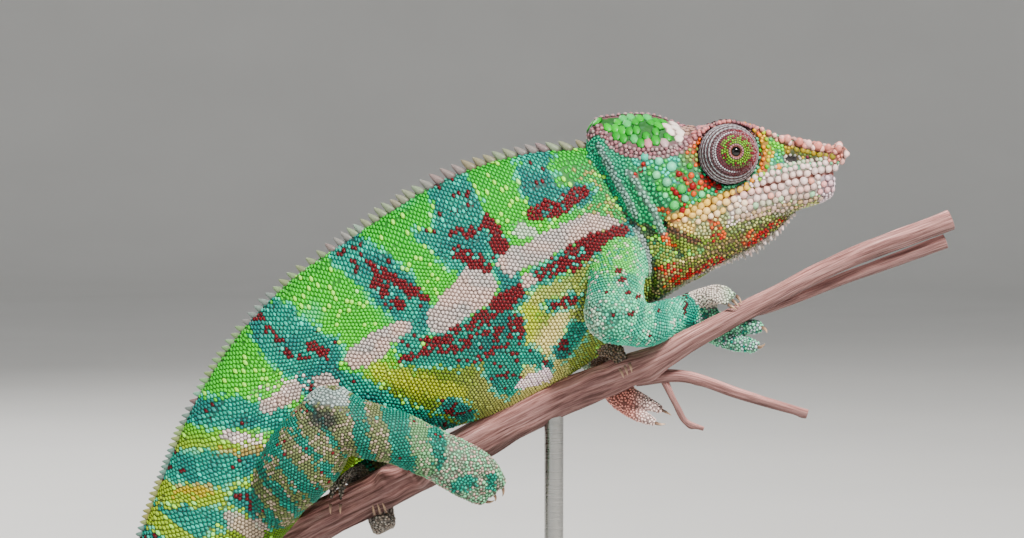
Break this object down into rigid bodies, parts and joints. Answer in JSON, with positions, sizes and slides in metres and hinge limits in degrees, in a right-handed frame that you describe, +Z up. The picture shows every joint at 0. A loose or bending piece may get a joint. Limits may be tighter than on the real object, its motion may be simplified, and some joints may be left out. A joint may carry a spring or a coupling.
{
  "type": "panther chameleon",
  "caption": "Life-size still model of a male panther chameleon gripping a cut length of sloping branch, held above a flat plinth by two short rods.",
  "frame": {"origin": "middle of the plinth's underside, which stands on the surface", "axes": "+X towards the animal's snout along the plinth's long side, +Y towards its left side, +Z up"},
  "size_m": [0.2169, 0.092, 0.1974],
  "materials": {
    "skin": "small raised granular scales, green with teal, yellow and deep red markings, slightly satin",
    "eye": "wet gloss",
    "claw": "smooth horn, satin",
    "bark": "dry weathered twig bark, matt",
    "plinth_wood": "dark stained hardwood, satin varnish",
    "rod_steel": "brushed"
  },
  "bodies": {
    "root": {"casque": "skin", "claw_left_foot_inner_1": "claw", "claw_left_foot_inner_2": "claw", "claw_left_foot_outer_1": "claw", "claw_left_foot_outer_2": "claw", "claw_left_foot_outer_3": "claw", "claw_left_hand_inner_1": "claw", "claw_left_hand_inner_2": "claw", "claw_left_hand_inner_3": "claw", "claw_left_hand_outer_1": "claw", "claw_left_hand_outer_2": "claw", "claw_right_foot_inner_1": "claw", "claw_right_foot_inner_2": "claw", "claw_right_foot_outer_1": "claw", "claw_right_foot_outer_2": "claw", "claw_right_foot_outer_3": "claw", "claw_right_hand_inner_1": "claw", "claw_right_hand_inner_2": "claw", "claw_right_hand_inner_3": "claw", "claw_right_hand_outer_1": "claw", "claw_right_hand_outer_2": "claw", "eye_left": "eye", "eye_right": "eye", "eye_turret_left": "skin", "eye_turret_right": "skin", "head": "skin", "left_foot_inner": "skin", "left_foot_outer": "skin", "left_forearm": "skin", "left_hand_inner": "skin", "left_hand_outer": "skin", "left_shank": "skin", "left_thigh": "skin", "left_upper_arm": "skin", "lower_jaw": "skin", "neck": "skin", "perch_branch": "bark", "perch_shoot": "bark", "perch_twig": "bark", "perch_twiglet": "bark", "right_foot_inner": "skin", "right_foot_outer": "skin", "right_forearm": "skin", "right_hand_inner": "skin", "right_hand_outer": "skin", "right_shank": "skin", "right_thigh": "skin", "right_upper_arm": "skin", "stand_base": "plinth_wood", "stand_collar_front": "rod_steel", "stand_collar_rear": "rod_steel", "stand_rod_front": "rod_steel", "stand_rod_rear": "rod_steel", "tail_base": "skin", "tail_coil_inner": "skin", "tail_coil_outer": "skin", "tail_hanging": "skin", "throat": "skin", "trunk": "skin"}
  },
  "joints": []
}
